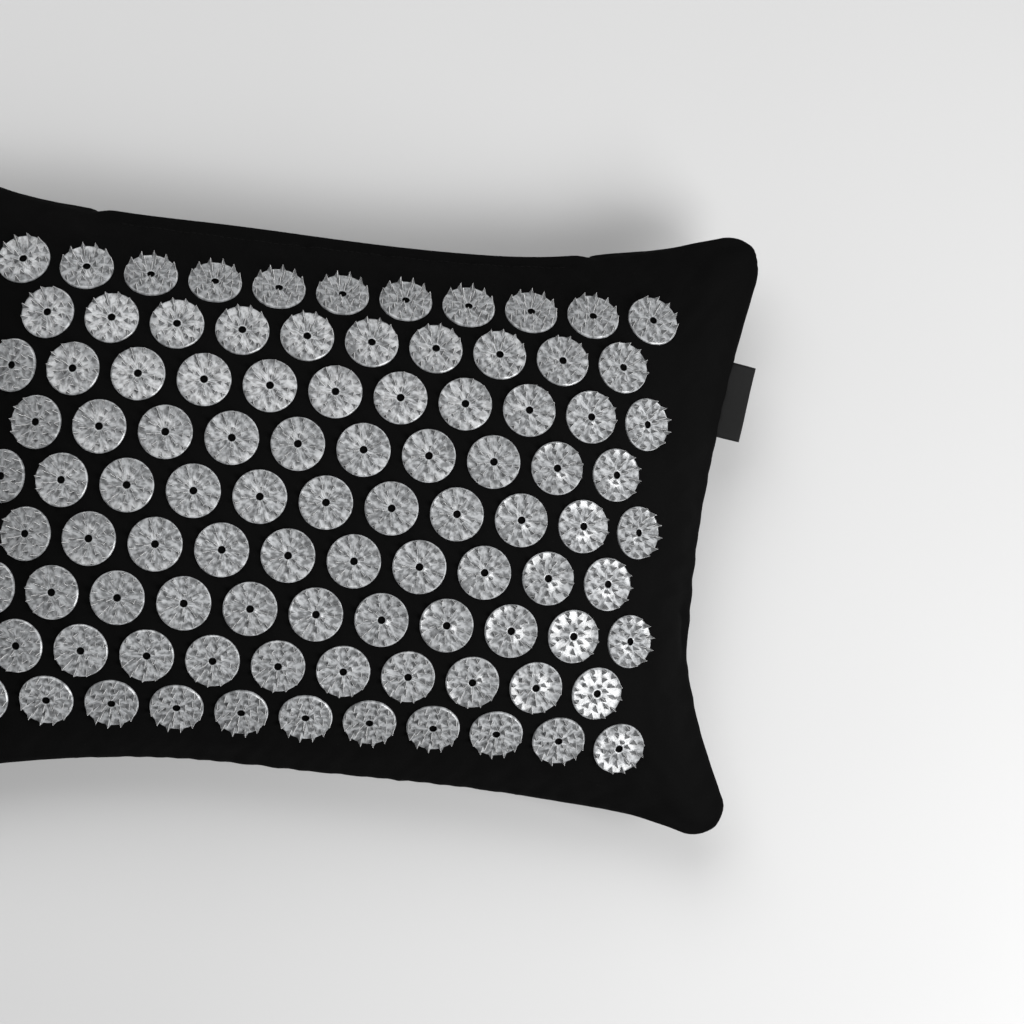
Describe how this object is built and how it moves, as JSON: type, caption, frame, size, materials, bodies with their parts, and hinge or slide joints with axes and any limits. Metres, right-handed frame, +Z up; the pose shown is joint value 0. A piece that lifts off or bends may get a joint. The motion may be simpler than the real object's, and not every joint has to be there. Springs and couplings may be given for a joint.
{
  "type": "acupressure mat",
  "caption": "Stuffed pillow-shaped acupressure mat: black cloth cover, rows of pale round discs with pointed spikes on the crowned top, side label, zip in one long side.",
  "frame": {"origin": "under the middle of the pad, on the surface that it lies on", "axes": "+X along the rows of discs towards the end with the label, +Y towards the long side with the zip, +Z up through the crown"},
  "size_m": [0.4153, 0.2982, 0.097],
  "materials": {
    "cloth": "matte black weave",
    "lining": "matte white",
    "fibre": "matte white",
    "zip_tape": "matte black",
    "zip_teeth": "satin black",
    "zip_metal": "dark satin",
    "label": "black satin weave"
  },
  "bodies": {
    "pad": {"top_panel_row_1": "cloth", "top_panel_row_2": "cloth", "top_panel_row_3": "cloth", "top_panel_row_4": "cloth", "top_panel_row_5": "cloth", "top_panel_row_6": "cloth", "top_panel_row_7": "cloth", "top_panel_row_8": "cloth", "top_panel_row_9": "cloth", "bottom_panel": "cloth", "inner_casing_top": "lining", "inner_casing_bottom": "lining", "fibre_filling": "fibre", "zip_tape_upper": "zip_tape", "zip_tape_lower": "zip_tape", "zip_teeth_upper": "zip_teeth", "zip_teeth_lower": "zip_teeth", "zip_top_stop_upper": "zip_metal", "zip_top_stop_lower": "zip_metal", "zip_bottom_stop": "zip_metal", "side_label": "label"},
    "slider": {"zip_slider": "zip_metal"},
    "pull_tab": {"zip_pull_tab": "zip_metal"}
  },
  "joints": [
    {"name": "zip_slide", "type": "slide", "parent": "pad", "child": "slider", "axis": [1, 0, 0], "range_m": [0, 0.187]},
    {"name": "pull_swing", "type": "hinge", "parent": "slider", "child": "pull_tab", "pos_m": [-0.0935, 0.132, 0.041], "axis": [0, 0, 1], "range_deg": [0, 180]}
  ]
}
